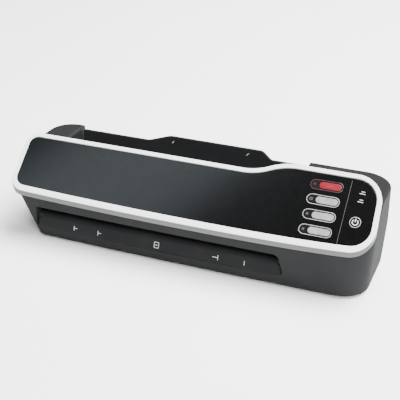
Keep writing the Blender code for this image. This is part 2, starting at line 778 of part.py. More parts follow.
def motor_centre():
    """Axis of the drive gear, in mesh with both lower roller gears."""
    ay, az = nip(HOT_Y, -1)
    by, bz = nip(PULL_Y, -1)
    span = math.hypot(by - ay, bz - az) / 2
    reach = MODULE * (ROLLER_TEETH + MOTOR_TEETH) / 2
    drop = math.sqrt(reach ** 2 - span ** 2)
    uy, uz = (by - ay) / (2 * span), (bz - az) / (2 * span)
    return (ay + by) / 2 + uz * drop, (az + bz) / 2 - uy * drop


def bearing_angle(a, b):
    return math.atan2(b[1] - a[1], b[0] - a[0])


def gear_train():
    centre = motor_centre()
    start = 0.0
    made = [gear("motor_gear", centre, MOTOR_TEETH, start, *GEAR_X, OUTPUT_R + RUN)]
    for label, y in (("hot", HOT_Y), ("pull", PULL_Y)):
        low, high = nip(y, -1), nip(y, 1)
        first = mesh_phase(bearing_angle(centre, low), start, MOTOR_TEETH, ROLLER_TEETH)
        second = mesh_phase(bearing_angle(low, high), first, ROLLER_TEETH, ROLLER_TEETH)
        bore = JOURNAL_R + RUN
        made.append(gear("gear_%s_lower" % label, low, ROLLER_TEETH, first, *GEAR_X, bore))
        made.append(gear("gear_%s_upper" % label, high, ROLLER_TEETH, second, *GEAR_X, bore))
    cy, cz = centre
    stations = [(GEAR_X[0] - 0.5, OUTPUT_R - 0.3), (GEAR_X[0], OUTPUT_R), (132.0, OUTPUT_R)]
    made.append(turned("output_shaft", cy, cz, stations))
    return made


def drive_unit():
    cy, cz = motor_centre()
    box_low = (121.0, cy - 14.0, 4.0)
    box_high = (147.0, cy + 14.0, 36.0)
    case = box("gearbox", box_low, box_high)
    join(case, turned("boss", cy, cz, [(118.0, 5.0), (122.0, 5.0)], 20))
    cut(case, turned("bore", cy, cz, [(115.0, OUTPUT_R + RUN), (133.0, OUTPUT_R + RUN)]))
    stations = [(147.3, 13.0), (148.3, 14.0), (176.0, 14.0), (177.0, 13.0), (177.0, 4.0), (179.0, 4.0)]
    motor = turned("drive_motor", cy, 19.5, stations)
    return [case, motor]


def heater_shoe(label, side):
    """Curved heated plate that wraps the outer half of a hot roller."""
    cy, cz = nip(HOT_Y, side)
    middle = PATH_RISE + math.pi / 2 * side
    inner, outer = SHOE_R
    angles = [middle + math.radians(SHOE_HALF) * (k / 5 - 1) for k in range(11)]
    profile = [(cy + outer * math.cos(a), cz + outer * math.sin(a)) for a in angles]
    profile += [(cy + inner * math.cos(a), cz + inner * math.sin(a)) for a in reversed(angles)]
    return along_x("heater_shoe_" + label, profile, *SHOE_X)


def thermostat():
    cy, cz = nip(HOT_Y, 1)
    points = []
    for u, v in ((-5, 15.5), (5, 15.5), (5, 20.0), (-5, 20.0)):
        y = cy + u * math.cos(PATH_RISE) - v * math.sin(PATH_RISE)
        z = cz + u * math.sin(PATH_RISE) + v * math.cos(PATH_RISE)
        points.append((y, z))
    return along_x("thermostat", points, -38.0, -20.0)


def boards():
    face = [(122.0, 1.0), (202.0, 3.5), (202.0, 50.0), (190.0, 63.0), (122.0, 63.0)]
    control = loft("control_board", [[on_panel(x, v, h) for x, v in face] for h in (-13.2, -11.6)])
    main = box("main_board", (120.0, 80.0, 7.0), (198.0, 104.0, 8.6))
    join(main, box("transformer", (178.0, 83.0, 8.0), (196.0, 101.0, 24.0)))
    join(main, upright("capacitor", 130.0, 92.0, 8.0, 26.0, 6.0, 6.0, 16))
    join(main, box("relay", (140.0, 86.0, 8.0), (148.0, 100.0, 22.0)))
    return [control, main]


def power_inlet():
    """Two-pin figure-eight socket flush in the rear wall."""
    body = along_y("power_inlet", bar(*INLET_AT, *INLET_SIZE, 0), 106.0, 118.8)
    cavity = bar(*INLET_AT, *INLET_CAVITY, 4.1)
    cut(body, along_y("cavity", cavity, 108.0, 125.0))
    made = [body]
    middle, z = INLET_AT
    for label, x in (("left", middle - INLET_PIN_HALF), ("right", middle + INLET_PIN_HALF)):
        angles = [2 * math.pi * k / 12 for k in range(12)]
        ring = [(x + INLET_PIN_R * math.cos(a), z + INLET_PIN_R * math.sin(a)) for a in angles]
        made.append(along_y("inlet_pin_" + label, ring, 108.2, 116.5))
    return made


FINISHES = {
    "charcoal_plastic": ((0.030, 0.031, 0.034), 0.45, 0.0),
    "white_trim": ((0.78, 0.79, 0.80), 0.30, 0.0),
    "gloss_black": ((0.012, 0.013, 0.015), 0.08, 0.0),
    "key_black": ((0.020, 0.021, 0.023), 0.25, 0.0),
    "red_light": ((0.75, 0.03, 0.04), 0.30, 0.0),
    "milky_light": ((0.60, 0.62, 0.64), 0.30, 0.0),
    "dark_rubber": ((0.015, 0.015, 0.016), 0.85, 0.0),
    "silicone": ((0.42, 0.10, 0.06), 0.55, 0.0),
    "steel": ((0.56, 0.57, 0.58), 0.32, 1.0),
    "aluminium": ((0.70, 0.71, 0.73), 0.38, 1.0),
    "nylon_white": ((0.72, 0.71, 0.66), 0.45, 0.0),
    "board_green": ((0.02, 0.14, 0.06), 0.45, 0.0),
    "brass": ((0.72, 0.55, 0.25), 0.30, 1.0),
    "grey_plastic": ((0.11, 0.11, 0.12), 0.50, 0.0),
}


def finish(items, look):
    """Give each object its own material, named after the object, and smooth its round faces."""
    colour, roughness, metallic = FINISHES[look]
    for item in items:
        item.data.shade_smooth()
        item.data.set_sharp_from_angle(angle=SMOOTH_UNDER)
        item.data.materials.clear()
        item.data.materials.append(material(item.name + "_mat", colour, roughness, metallic))


def set_origin(item, point):
    """Move an object's origin to a point without moving its surface."""
    for vert in item.data.vertices:
        vert.co -= point
    item.location = point


def build_case():
    form = shell_pair()
    twin = form.copy()
    twin.data = form.data.copy()
    bpy.context.scene.collection.objects.link(twin)
    finish([front_cover(form), rear_cover(twin)], "charcoal_plastic")
    finish([base_plate()], "grey_plastic")
    finish([trim_frame()], "white_trim")
    finish([top_panel()], "gloss_black")
    finish(feet(), "dark_rubber")


def build_controls():
    for index, s in enumerate(KEY_ROWS, 1):
        key, window = mode_key(index, s)
        for item in (key, window):
            set_origin(item, on_panel(KEY_MID, s, 0))
        finish([key], "key_black")
        finish([window], "red_light" if index == 1 else "milky_light")
    power = power_key()
    set_origin(power, on_panel(*POWER_AT, 0))
    finish([power], "key_black")
    finish([indicator_lens(k, s) for k, s in enumerate(LENS_ROWS, 1)], "milky_light")


def build_tray():
    tray = exit_tray()
    pins = hinge_pins()
    for item in [tray] + pins:
        set_origin(item, put(PATH_MID_X, HINGE_Y, HINGE_Z))
    finish([tray], "charcoal_plastic")
    finish(pins, "steel")


def build_feed():
    finish([side_plate("left", PLATE_LEFT_X), side_plate("right", PLATE_RIGHT_X)], "steel")
    finish(tie_bars(), "steel")
    for label, y in (("hot", HOT_Y), ("pull", PULL_Y)):
        left = bearing(label + "_left", y, PLATE_LEFT_X - 2.0)
        right = bearing(label + "_right", y, PLATE_RIGHT_X - 1.8)
        finish([left, right], "nylon_white")
        for place, side in (("upper", 1), ("lower", -1)):
            sleeve, shaft = roller("%s_%s" % (label, place), y, side)
            cy, cz = nip(y, side)
            for item in (sleeve, shaft):
                set_origin(item, put(PATH_MID_X, cy, cz))
            finish([sleeve], "silicone")
            finish([shaft], "steel")
    finish([heater_shoe("upper", 1), heater_shoe("lower", -1)], "aluminium")
    finish([thermostat()], "steel")


def build_drive():
    made = gear_train()
    centres = [motor_centre()]
    for y in (HOT_Y, PULL_Y):
        centres += [nip(y, -1), nip(y, 1)]
    centres.append(motor_centre())
    for item, (cy, cz) in zip(made, centres):
        set_origin(item, put(GEAR_X[0], cy, cz))
    finish(made[:-1], "nylon_white")
    finish(made[-1:], "steel")
    case, motor = drive_unit()
    finish([case], "grey_plastic")
    finish([motor], "steel")
    finish(boards(), "board_green")
    body, left, right = power_inlet()
    finish([body], "grey_plastic")
    finish([left, right], "brass")


def main():
    clear_objects()
    build_case()
    build_controls()
    build_tray()
    build_feed()
    build_drive()


main()
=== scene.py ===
"""Pouch laminator: the visual model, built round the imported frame.

Lengths are in millimetres in the part's working frame (x right, y to the rear,
z up from the underside of the shells); put() gives world metres.
"""
import math

import bmesh
import bpy
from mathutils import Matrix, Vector


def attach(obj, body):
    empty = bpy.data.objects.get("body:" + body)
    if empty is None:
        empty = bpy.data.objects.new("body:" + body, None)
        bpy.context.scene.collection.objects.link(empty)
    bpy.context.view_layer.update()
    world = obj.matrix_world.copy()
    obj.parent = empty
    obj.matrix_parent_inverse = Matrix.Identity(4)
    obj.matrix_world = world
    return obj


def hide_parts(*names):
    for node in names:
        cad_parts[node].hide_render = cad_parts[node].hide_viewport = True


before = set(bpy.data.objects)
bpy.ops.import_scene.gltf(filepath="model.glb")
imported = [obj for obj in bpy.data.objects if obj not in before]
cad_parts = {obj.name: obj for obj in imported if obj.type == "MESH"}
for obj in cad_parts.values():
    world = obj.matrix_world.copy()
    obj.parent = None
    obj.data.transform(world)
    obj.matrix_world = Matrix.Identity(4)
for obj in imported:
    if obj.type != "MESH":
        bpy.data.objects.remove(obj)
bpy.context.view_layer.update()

# Placement of the working frame
X_SHIFT = 1.6
Y_SHIFT = -57.15
FOOT_HEIGHT = 3.0

# Shells
WALL = 2.5
LEFT, RIGHT, LEFT_REAR = -215.0, 212.6, -209.0
LEFT_BASE, RIGHT_BASE = -187.0, 208.5
REAR = 119.0
FRONT_BASE, FRONT_TOP = 0.0, -2.1
BOW = 2.6
BOW_FADE, X_MID, HALF_WIDTH = 60.0, -1.0, 212.0
BULGE_Z = 55.0
BEND = 5.0
DECK_Z = 95.0
DECK_ROUND = 3.0
FOOT_ROUND = 1.2
SEAM_Y = 68.0
SEAM_HALF = 0.15
SLIP = 0.3
WEDGE_Y = 49.2
SIDES = ((LEFT_BASE, LEFT_BASE, RIGHT_BASE, FRONT_BASE, (15, 30, 30, 24)),
         (LEFT, LEFT_REAR, RIGHT, FRONT_TOP, (17, 26, 34, 27)))

# Tilted panel
TILT = math.radians(41.5)
PLANE_Y, PLANE_Z = 3.18, 61.5
TRIM_WIDTH, TRIM_BAND, TRIM_PROUD = 5.4, 6.5, 1.2
TRIM_ROUND = 1.0
REAR_SLIM = 1.5
LEDGE = 2.0
PANEL_DROP, PANEL_DEPTH, PANEL_GAP = 0.8, 3.2, 0.25
SAG, LIFT = 3.3, 2.6
PANEL_LEFT, PANEL_WIDE, PANEL_TOP = -211.0, 419.4, 62.6
PANEL_RIGHT, KEYS_RIGHT, KEYS_TOP = 208.4, 205.6, 77.0
PANEL_MID, PANEL_HALF = -1.3, 210
WAVE_X, WAVE_ROUND = (70.0, 100.0), 70
SLIM_FROM, SLIM_OVER = 20.0, 30.0

# Keys and lights
KEY_X = (132.0, 168.6)
KEY_MID, KEY_WIDE = sum(KEY_X) / 2, KEY_X[1] - KEY_X[0]
KEY_ROWS = (62.8, 45.6, 28.1, 10.6)
KEY_TALL = 12.4
KEY_GAP = 0.3
KEY_TOP = -0.2
FLANGE_OUT, FLANGE_H = 1.2, (-4.8, -3.4)
STEM_R, STEM_END = 2.0, -10.4
SIGN_X = 137.3
WINDOW_X = (142.3, 166.3)
WINDOW_MID, WINDOW_LONG = sum(WINDOW_X) / 2, WINDOW_X[1] - WINDOW_X[0]
WINDOW_TALL = 7.6
WINDOW_GAP, POCKET_H, WINDOW_H = 0.2, -1.6, -1.4
POWER_AT = (189.2, 27.9)
POWER_R = 6.4
LENS_X = 189.8
LENS_ROWS = (62.6, 53.2)
LENS_TOP = -0.5
DIVIDER_X, HAIRLINE_X = 175.7, 125.0
INK = 0.06

# Feed path, recess, notch and tray
PATH_RISE = math.radians(12.0)
PATH_Z = 28.5
RECESS_TOP, RECESS_BASE, RECESS_Z = (-182.0, 114.0), (-183.5, 121.5), (10.6, 37.0)
LIP_ROUND = 8.0
LIP_END_X = (-181.0, 117.5)
LIP_END_Z = 16.0
LIP_END_DEPTH = 6.0
LIP_FOOT, LIP_EDGE = (0.3, 10.6), (5.6, 26.0)
TABLE_END, BROW_DROP = (22.0, 30.9), 1.4
BLOCK_SIDE = [(1.0, 7.5), (8.0, 7.5), (8.6, 23.0), (19.0, 27.6), (19.0, 33.0), (13.5, 33.0), (13.5, 40.0), (1.0, 40.0)]
BLOCK_PAST, UNDER_SKIN = 3.0, 0.05
MARK_V, SHEET_X = 6.6, -29.0
NOTCH_X = (-176.0, 112.3)
NOTCH_CORNER = 2.0
POST_WIDE = 10.4
NOTCH_FILLET = 4.0
NOTCH_FLOOR = 48.9
LINER, LINER_BACK, RAIL_Z = 2.4, 75.8, 43.2
POST_Y, POST_Z = (108.0, 117.4), (41.0, 93.4)
REAR_CUT_Y = (110.0, 130.0)
VENT_X, VENT_PITCH, VENT_COUNT = 125.1, 5.0, 6
HINGE_Y, HINGE_Z = 114.0, 47.5
BARREL_R, PIN_R, RUN = 3.5, 1.6, 0.08
TRAY_FOOT, TRAY_BACK, TRAY_FACE = 0.4, 0.9, 3.4
RIB_X = (-140.0, -95.0, -29.0, 37.0, 82.0)
RIB_RUN, RIB_H = (7, 40), (-1.5, 0.2)
PIN_BORE = 9.2
TRAY_X = (-175.2, 111.5)
TRAY_LONG, TAB_LONG = 44.9, 54.7

# Rollers
ROLLER_Y = {"hot": 31.0, "pull": 61.0}
ROLLER_R, CORE_R, JOURNAL_R = 12.0, 6.0, 4.0
SLEEVE_X = (-156.0, 98.0)
GEAR_END = 116.0
NIP_REACH = 12.15

# Inlet
INLET_X, INLET_Z = 162.5, 24.0

ARC = 14
ROUND = 56
FLAT = math.radians(32.0)
BEVEL_OVER = math.radians(38.0)


# ---------------------------------------------------------------- geometry

def put(x, y, z):
    return Vector((x + X_SHIFT, y + Y_SHIFT, z + FOOT_HEIGHT)) / 1000.0


def on_panel(x, s, h):
    y = PLANE_Y + s * math.cos(TILT) - h * math.sin(TILT)
    return put(x, y, PLANE_Z + s * math.sin(TILT) + h * math.cos(TILT))


def on_tray(x, run, h):
    """On the folded tray: run up from the hinge axis, h forward of it."""
    return put(x, HINGE_Y - h, HINGE_Z + run)


def on_lip(x, v, h):
    """On the front lip: v up its slope from its foot, h out from its face."""
    dy, dz = LIP_EDGE[0] - LIP_FOOT[0], LIP_EDGE[1] - LIP_FOOT[1]
    long = math.hypot(dy, dz)
    uy, uz = dy / long, dz / long
    return put(x, LIP_FOOT[0] + v * uy - h * uz, LIP_FOOT[1] + v * uz + h * uy)


def plane_z(y):
    return PLANE_Z + (y - PLANE_Y) * math.tan(TILT)


def path_z(y):
    return PATH_Z + y * math.tan(PATH_RISE)


def make(name, verts, faces):
    mesh = bpy.data.meshes.new(name)
    mesh.from_pydata([tuple(v) for v in verts], [], faces)
    work = bmesh.new()
    work.from_mesh(mesh)
    bmesh.ops.remove_doubles(work, verts=work.verts, dist=1e-7)
    bmesh.ops.recalc_face_normals(work, faces=work.faces)
    work.to_mesh(mesh)
    work.free()
    item = bpy.data.objects.new(name, mesh)
    bpy.context.scene.collection.objects.link(item)
    return item


def loft(name, rings, closed=False):
    """Solid through rings of equal length: capped, or closed back on its first ring."""
    count, many = len(rings[0]), len(rings)
    verts = [p for ring in rings for p in ring]
    faces = []
    for k in range(many if closed else many - 1):
        n = (k + 1) % many
        for i in range(count):
            j = (i + 1) % count
            faces.append((k * count + i, k * count + j, n * count + j, n * count + i))
    if not closed:
        faces += [tuple(range(count)), tuple(range((many - 1) * count, many * count))]
    return make(name, verts, faces)


def along_x(name, profile, x0, x1):
    return loft(name, [[put(x, y, z) for y, z in profile] for x in (x0, x1)])


def along_y(name, profile, y0, y1):
    return loft(name, [[put(x, y, z) for x, z in profile] for y in (y0, y1)])


def along_z(name, profile, z0, z1):
    return loft(name, [[put(x, y, z) for x, y in profile] for z in (z0, z1)])


def box(name, low, high):
    profile = [(low[0], low[1]), (high[0], low[1]), (high[0], high[1]), (low[0], high[1])]
    return along_z(name, profile, low[2], high[2])


def circle(a, b, r, steps):
    return [(a + r * math.cos(2 * math.pi * i / steps), b + r * math.sin(2 * math.pi * i / steps))
            for i in range(steps)]


def turned(name, y, z, stations, closed=False, steps=ROUND):
    """Turned about a line along x; stations are (x, radius)."""
    rings = [[put(x, *p) for p in circle(y, z, r, steps)] for x, r in stations]
    return loft(name, rings, closed)


def upright(name, x, y, stations, steps=ROUND):
    """Turned about a vertical line; stations are (z, radius)."""
    return loft(name, [[put(*p, z) for p in circle(x, y, r, steps)] for z, r in stations])


def combine(base, other, operation):
    step = base.modifiers.new("cut", "BOOLEAN")
    step.operation = operation
    step.solver = "EXACT"
    step.object = other
    result = bpy.data.meshes.new_from_object(base.evaluated_get(bpy.context.evaluated_depsgraph_get()))
    base.modifiers.clear()
    old = base.data
    base.data = result
    bpy.data.meshes.remove(old)
    bpy.data.objects.remove(other, do_unlink=True)
    work = bmesh.new()
    work.from_mesh(base.data)
    bmesh.ops.remove_doubles(work, verts=work.verts, dist=2e-6)
    bmesh.ops.dissolve_degenerate(work, edges=work.edges, dist=2e-6)
    work.to_mesh(base.data)
    work.free()
    return base


def cut(base, other):
    return combine(base, other, "DIFFERENCE")


def join(base, other):
    return combine(base, other, "UNION")


def keep(base, other):
    return combine(base, other, "INTERSECT")


def rounded(corners, steps=ARC):
    """Polygon with an arc at each corner given as (x, y, radius)."""
    points = []
    count = len(corners)
    for i, (x, y, r) in enumerate(corners):
        here = Vector((x, y))
        if r <= 0:
            points.append((x, y))
            continue
        a = (Vector(corners[i - 1][:2]) - here).normalized()
        b = (Vector(corners[(i + 1) % count][:2]) - here).normalized()
        half = a.angle(b) / 2
        centre = here + (a + b).normalized() * (r / math.sin(half))
        start = here + a * (r / math.tan(half)) - centre
        stop = here + b * (r / math.tan(half)) - centre
        turn = start.angle_signed(stop)
        for k in range(steps + 1):
            t = -turn * k / steps
            points.append((centre.x + start.x * math.cos(t) - start.y * math.sin(t),
                           centre.y + start.x * math.sin(t) + start.y * math.cos(t)))
    return points


def inset(points, distance):
    """Move a counter-clockwise outline inward."""
    moved = []
    count = len(points)
    for i in range(count):
        here = Vector(points[i])
        a = (here - Vector(points[i - 1])).normalized()
        b = (Vector(points[(i + 1) % count]) - here).normalized()
        na, nb = Vector((-a.y, a.x)), Vector((-b.y, b.x))
        mean = (na + nb).normalized()
        move = mean * (distance / max(0.4, mean.dot(na)))
        moved.append((here.x + move.x, here.y + move.y))
    return moved


def bar(cx, cy, wide, tall, radius, steps=10):
    x0, x1 = cx - wide / 2, cx + wide / 2
    y0, y1 = cy - tall / 2, cy + tall / 2
    return rounded([(x0, y0, radius), (x1, y0, radius), (x1, y1, radius), (x0, y1, radius)], steps)


def pill(cx, cy, wide, tall, shrink=0.0, steps=12):
    """Bar with fully round ends."""
    tall -= 2 * shrink
    return bar(cx, cy, wide - 2 * shrink, tall, tall / 2 - 0.01, steps)


def quarter(radius, steps=5):
    """(inset, drop) pairs round a convex edge, from its side to its top."""
    return [(radius * (1 - math.cos(math.pi / 2 * k / steps)), radius * (1 - math.sin(math.pi / 2 * k / steps)))
            for k in range(steps + 1)]


# ---------------------------------------------------------------- materials

def noise(tree, scale, detail, stretch):
    coords = tree.nodes.new("ShaderNodeTexCoord")
    node = tree.nodes.new("ShaderNodeTexNoise")
    node.inputs["Scale"].default_value = scale
    node.inputs["Detail"].default_value = detail
    source = coords.outputs["Object"]
    if stretch:
        turn = tree.nodes.new("ShaderNodeMapping")
        turn.inputs["Scale"].default_value = stretch
        tree.links.new(source, turn.inputs["Vector"])
        source = turn.outputs["Vector"]
    tree.links.new(source, node.inputs["Vector"])
    return node.outputs["Fac"]


def spread(tree, value, low, high):
    node = tree.nodes.new("ShaderNodeMapRange")
    node.inputs["From Min"].default_value = 0.3
    node.inputs["From Max"].default_value = 0.7
    node.inputs["To Min"].default_value = low
    node.inputs["To Max"].default_value = high
    tree.links.new(value, node.inputs["Value"])
    return node.outputs["Result"]


def tint(tree, value, stops):
    node = tree.nodes.new("ShaderNodeValToRGB")
    ramp = node.color_ramp
    while len(ramp.elements) < len(stops):
        ramp.elements.new(0.5)
    for element, (place, colour) in zip(ramp.elements, stops):
        element.position = place
        element.color = (*colour, 1.0)
    tree.links.new(value, node.inputs["Fac"])
    return node.outputs["Color"]


def bump(tree, shader, height, depth):
    node = tree.nodes.new("ShaderNodeBump")
    node.inputs["Strength"].default_value = 1.0
    node.inputs["Distance"].default_value = depth
    tree.links.new(height, node.inputs["Height"])
    tree.links.new(node.outputs["Normal"], shader.inputs["Normal"])


def surface(name, dark, light, rough, patch=35.0, grain=1800.0, depth=1.6e-5, stretch=None, **fixed):
    """Procedural finish: mottled colour, uneven roughness and a fine grain."""
    made = bpy.data.materials.new(name)
    made.use_nodes = True
    tree = made.node_tree
    shader = tree.nodes["Principled BSDF"]
    for socket, value in fixed.items():
        shader.inputs[socket.replace("_", " ")].default_value = value
    wide = noise(tree, patch, 4.0, stretch)
    tree.links.new(tint(tree, wide, ((0.3, dark), (0.7, light))), shader.inputs["Base Color"])
    fine = noise(tree, grain, 2.0, stretch)
    uneven = spread(tree, fine, *rough)
    for socket in ("Roughness", "Coat Roughness"):
        tree.links.new(uneven, shader.inputs[socket])
    bump(tree, shader, fine, depth)
    return made


def grey(value, cool=0.0):
    return (value * (1 - cool), value, value * (1 + cool))


CHARCOAL = surface("moulded_charcoal", grey(0.0125, 0.04), grey(0.0155, 0.03), (0.32, 0.42),
                   Specular_IOR_Level=0.0, Coat_Weight=0.16)
# Painted light: the tray's charcoal plastic, made lighter than the shells so that the tray, which stands in shade,
# reads brighter.
TRAY_CHARCOAL_PAINTED_LIGHT = surface("tray_charcoal_painted_light", grey(0.021, 0.04), grey(0.026, 0.03), (0.36, 0.46),
                    Specular_IOR_Level=0.0, Coat_Weight=0.2)
BASE = surface("moulded_base", grey(0.035), grey(0.045), (0.50, 0.62), grain=1200.0, depth=3e-5)


def white_with_band_shade():
    """White moulding with painted shade: faces that turn away from up, such as the upright edge band, darken to grey.
    """
    made = surface("white_trim_gloss", grey(0.84, 0.005), grey(0.90, 0.005), (0.20, 0.26), grain=900.0, depth=3e-6)
    tree = made.node_tree
    shader = tree.nodes["Principled BSDF"]
    white = shader.inputs["Base Color"].links[0].from_socket
    # Painted shade: the colour darkens to a dark grey as the face turns from up, so the edge band reads shaded.
    facing = tree.nodes.new("ShaderNodeNewGeometry")
    split = tree.nodes.new("ShaderNodeSeparateXYZ")
    tree.links.new(facing.outputs["Normal"], split.inputs["Vector"])
    band_shade = tint(tree, split.outputs["Z"], ((0.30, grey(0.085, 0.01)), (0.50, grey(1.0))))
    blend = tree.nodes.new("ShaderNodeMix")
    blend.data_type = "RGBA"
    blend.blend_type = "MULTIPLY"
    blend.inputs["Factor"].default_value = 1.0
    tree.links.new(white, blend.inputs["A"])
    tree.links.new(band_shade, blend.inputs["B"])
    tree.links.new(blend.outputs["Result"], shader.inputs["Base Color"])
    return made


WHITE = white_with_band_shade()
GLOSS = surface("black_gloss", grey(0.0012, 0.03), grey(0.0018, 0.03), (0.13, 0.17), patch=18.0,
                grain=160.0, depth=2e-6)
KEYCAP = surface("key_gloss", grey(0.0035), grey(0.0055), (0.16, 0.22), grain=300.0, depth=2e-6)
INK_GREY = surface("printed_grey", grey(0.30), grey(0.36), (0.40, 0.50), grain=2500.0, depth=2e-6)
INK_DIM = surface("printed_dim", grey(0.055), grey(0.075), (0.40, 0.50), grain=2500.0, depth=2e-6)
INK_RED = surface("printed_red", (0.045, 0.003, 0.005), (0.060, 0.005, 0.008), (0.40, 0.50), grain=2500.0, depth=2e-6)
# Bright print; also the colour of the painted highlights on the tray tab.
BRIGHT_INK_AND_GLINT = surface("bright_print_and_glint", grey(0.55), grey(0.62), (0.35, 0.45), grain=2500.0, depth=2e-6)
MILKY = surface("milky_lens", grey(0.18, 0.01), grey(0.27, 0.01), (0.28, 0.38), patch=120.0, grain=700.0,
                depth=4e-6, Subsurface_Weight=0.15, Subsurface_Scale=0.002)
RUBBER = surface("black_rubber", grey(0.012), grey(0.020), (0.75, 0.92), grain=900.0, depth=4e-5)
SILICONE = surface("red_silicone", (0.30, 0.060, 0.030), (0.40, 0.090, 0.045), (0.45, 0.62), patch=60.0,
                   grain=1500.0, depth=1.2e-5, Subsurface_Weight=0.05, Subsurface_Scale=0.001)
STEEL = surface("drawn_steel", grey(0.50, 0.01), grey(0.60, 0.01), (0.24, 0.42), grain=900.0, depth=4e-6,
                stretch=(0.08, 1.0, 1.0), Metallic=1.0)
ALLOY = surface("rolled_aluminium", grey(0.66, 0.01), grey(0.74, 0.01), (0.30, 0.46), grain=900.0, depth=5e-6,
                stretch=(0.06, 1.0, 1.0), Metallic=1.0)
NYLON = surface("natural_nylon", (0.66, 0.64, 0.57), (0.74, 0.72, 0.66), (0.38, 0.52), grain=800.0, depth=1e-5,
                Subsurface_Weight=0.08, Subsurface_Scale=0.001)
BRASS = surface("brushed_brass", (0.62, 0.44, 0.17), (0.72, 0.53, 0.24), (0.22, 0.34), grain=1200.0, depth=3e-6,
                stretch=(1.0, 0.1, 1.0), Metallic=1.0)
LABEL = surface("blank_label", grey(0.50), grey(0.54), (0.45, 0.55), grain=600.0, depth=4e-6)


def lit_red():
    """Lit window: red, paler over the lamp in its middle."""
    made = surface("lit_red", (0.115, 0.003, 0.008), (0.15, 0.005, 0.011), (0.25, 0.35), grain=700.0, depth=4e-6)
    tree = made.node_tree
    shader = tree.nodes["Principled BSDF"]
    coords = tree.nodes.new("ShaderNodeTexCoord")
    shift = tree.nodes.new("ShaderNodeMapping")
    shift.vector_type = "TEXTURE"
    middle = on_panel((WINDOW_X[0] + WINDOW_X[1]) / 2, KEY_ROWS[0], 0)
    shift.inputs["Location"].default_value = middle
    shift.inputs["Scale"].default_value = (0.0115, 0.0040, 0.0040)
    ball = tree.nodes.new("ShaderNodeTexGradient")
    ball.gradient_type = "SPHERICAL"
    tree.links.new(coords.outputs["Object"], shift.inputs["Vector"])
    tree.links.new(shift.outputs["Vector"], ball.inputs["Vector"])
    glow = tint(tree, ball.outputs["Fac"], ((0.0, (0.42, 0.012, 0.03)), (0.5, (0.50, 0.04, 0.07)),
                                            (1.0, (0.90, 0.42, 0.40))))
    tree.links.new(glow, shader.inputs["Emission Color"])
    shader.inputs["Emission Strength"].default_value = 0.11
    return made


def board_green():
    """Solder mask over copper tracks."""
    dark, light = (0.010, 0.085, 0.030), (0.014, 0.115, 0.042)
    made = surface("circuit_board", dark, light, (0.32, 0.44), grain=1500.0, depth=4e-6)
    tree = made.node_tree
    shader = tree.nodes["Principled BSDF"]
    coords = tree.nodes.new("ShaderNodeTexCoord")
    tracks = tree.nodes.new("ShaderNodeTexBrick")
    tracks.inputs["Scale"].default_value = 260.0
    tracks.inputs["Mortar Size"].default_value = 0.06
    tracks.inputs["Color1"].default_value = (0.010, 0.090, 0.032, 1.0)
    tracks.inputs["Color2"].default_value = (0.016, 0.125, 0.048, 1.0)
    tracks.inputs["Mortar"].default_value = (0.10, 0.20, 0.06, 1.0)
    tree.links.new(coords.outputs["Object"], tracks.inputs["Vector"])
    tree.links.new(tracks.outputs["Color"], shader.inputs["Base Color"])
    return made


LIT_RED = lit_red()
BOARD = board_green()


# ---------------------------------------------------------------- placing pieces

def soften(item, width):
    """Round the sharp edges a little and shade what is left smoothly."""
    item.data.shade_smooth()
    if width:
        edge = item.modifiers.new("edges", "BEVEL")
        edge.width = width / 1000.0
        edge.segments = 2
        edge.limit_method = "ANGLE"
        edge.angle_limit = BEVEL_OVER
        edge.miter_outer = "MITER_ARC"
    else:
        item.data.set_sharp_from_angle(angle=FLAT)
    even = item.modifiers.new("normals", "WEIGHTED_NORMAL")
    even.keep_sharp = not width


def fit(item, finish, body, slot, *nodes, width=0.0):
    """Finish a piece, tie it to its body and hide the CAD nodes it stands for. The slot argument is not used."""
    item.data.materials.clear()
    item.data.materials.append(finish)
    soften(item, width)
    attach(item, body)
    if nodes:
        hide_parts(*nodes)
    return item


def ink_and_glints(name, shapes, place, finish, body, slot, base=0.0):
    """Printed marks, and painted glints: each outline a thin plate a little proud of the face under it."""
    verts, faces = [], []
    for outline in shapes:
        rings = outline if isinstance(outline[0], list) else [outline]
        if len(rings) == 1:
            count = len(rings[0])
            at = len(verts)
            for h in (base - INK, base + INK):
                verts += [place(u, v, h) for u, v in rings[0]]
            faces += [tuple(range(at, at + count)), tuple(range(at + count, at + 2 * count))]
            faces += [(at + i, at + (i + 1) % count, at + count + (i + 1) % count, at + count + i)
                      for i in range(count)]
            continue
        outer, inner = rings
        count = len(outer)
        at = len(verts)
        for ring, h in ((outer, base - INK), (outer, base + INK), (inner, base + INK), (inner, base - INK)):
            verts += [place(u, v, h) for u, v in ring]
        for k in range(4):
            n = (k + 1) % 4
            faces += [(at + k * count + i, at + k * count + (i + 1) % count,
                       at + n * count + (i + 1) % count, at + n * count + i) for i in range(count)]
    return fit(make(name, verts, faces), finish, body, slot)


def stroke(x0, y0, x1, y1, wide):
    """A straight stroke as a thin rectangle."""
    long = math.hypot(x1 - x0, y1 - y0)
    nx, ny = -(y1 - y0) / long * wide / 2, (x1 - x0) / long * wide / 2
    return [(x0 + nx, y0 + ny), (x0 - nx, y0 - ny), (x1 - nx, y1 - ny), (x1 + nx, y1 + ny)]


# ---------------------------------------------------------------- shells

